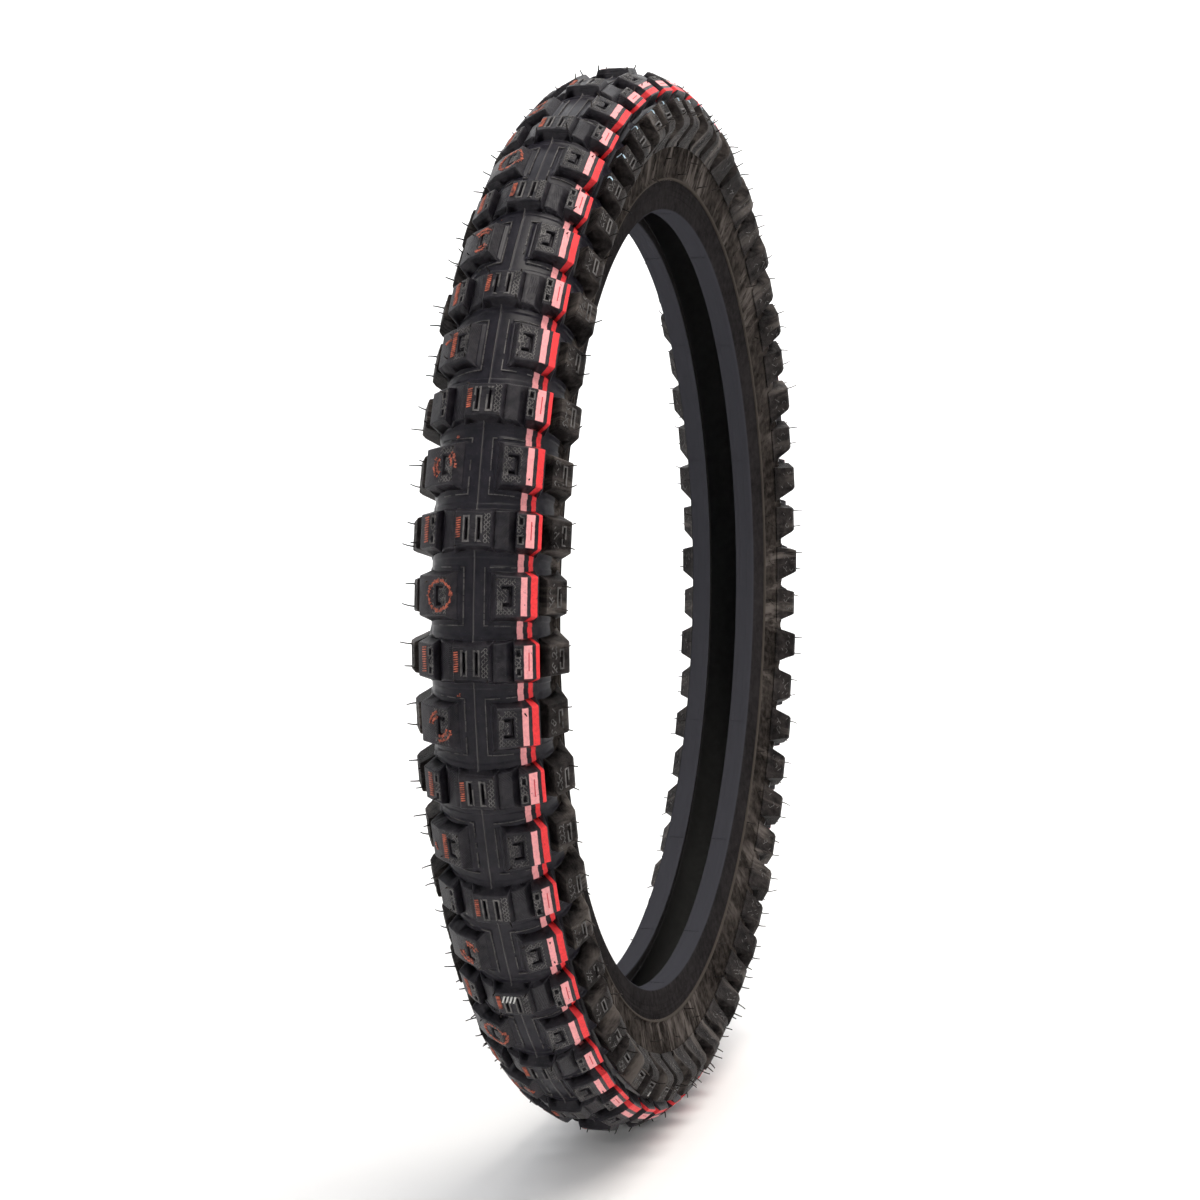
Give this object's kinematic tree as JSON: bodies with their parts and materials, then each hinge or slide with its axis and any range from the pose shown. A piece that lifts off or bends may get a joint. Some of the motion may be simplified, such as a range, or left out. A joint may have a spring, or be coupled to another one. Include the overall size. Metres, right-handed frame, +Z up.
{
  "type": "off-road motorcycle tyre",
  "caption": "Bare off-road motorcycle tyre with tall blocky knobs, a round open carcass for an inner tube, and two wire beads that seat on a spoked rim.",
  "frame": {"origin": "centre of the wheel, on its axis and in the tyre's centre plane", "axes": "+Y along the wheel axis towards the left side, +Z up, +X forwards"},
  "size_m": [0.7236, 0.1018, 0.7216],
  "materials": {
    "tread_rubber": "satin",
    "sidewall_rubber": "satin",
    "bead_rubber": "satin",
    "liner_rubber": "matt",
    "casing_rubber": "matt",
    "ply_cord": "matt",
    "bead_wire": "bronze-coated wire"
  },
  "bodies": {
    "root": {"inner_liner": "liner_rubber", "carcass_ply_inner": "ply_cord", "carcass_ply_outer": "ply_cord", "breaker_strip": "ply_cord", "tread_base": "casing_rubber", "tread_band": "tread_rubber", "bead_wires_left": "bead_wire", "bead_wires_right": "bead_wire", "bead_core_left": "casing_rubber", "bead_core_right": "casing_rubber", "bead_filler_left": "casing_rubber", "bead_filler_right": "casing_rubber", "chafer_left": "bead_rubber", "chafer_right": "bead_rubber", "sidewall_left": "sidewall_rubber", "sidewall_right": "sidewall_rubber", "rim_line_left": "sidewall_rubber", "rim_line_right": "sidewall_rubber", "centre_knobs": "tread_rubber", "tie_bars_left": "tread_rubber", "tie_bars_right": "tread_rubber", "intermediate_knobs_left": "tread_rubber", "intermediate_knobs_right": "tread_rubber", "inner_knobs_left": "tread_rubber", "inner_knobs_right": "tread_rubber", "shoulder_knobs_a_left": "tread_rubber", "shoulder_knobs_a_right": "tread_rubber", "shoulder_knobs_b_left": "tread_rubber", "shoulder_knobs_b_right": "tread_rubber", "sidewall_ribs_left": "sidewall_rubber", "sidewall_ribs_right": "sidewall_rubber", "vent_spews_left": "tread_rubber", "vent_spews_right": "tread_rubber"}
  },
  "joints": []
}
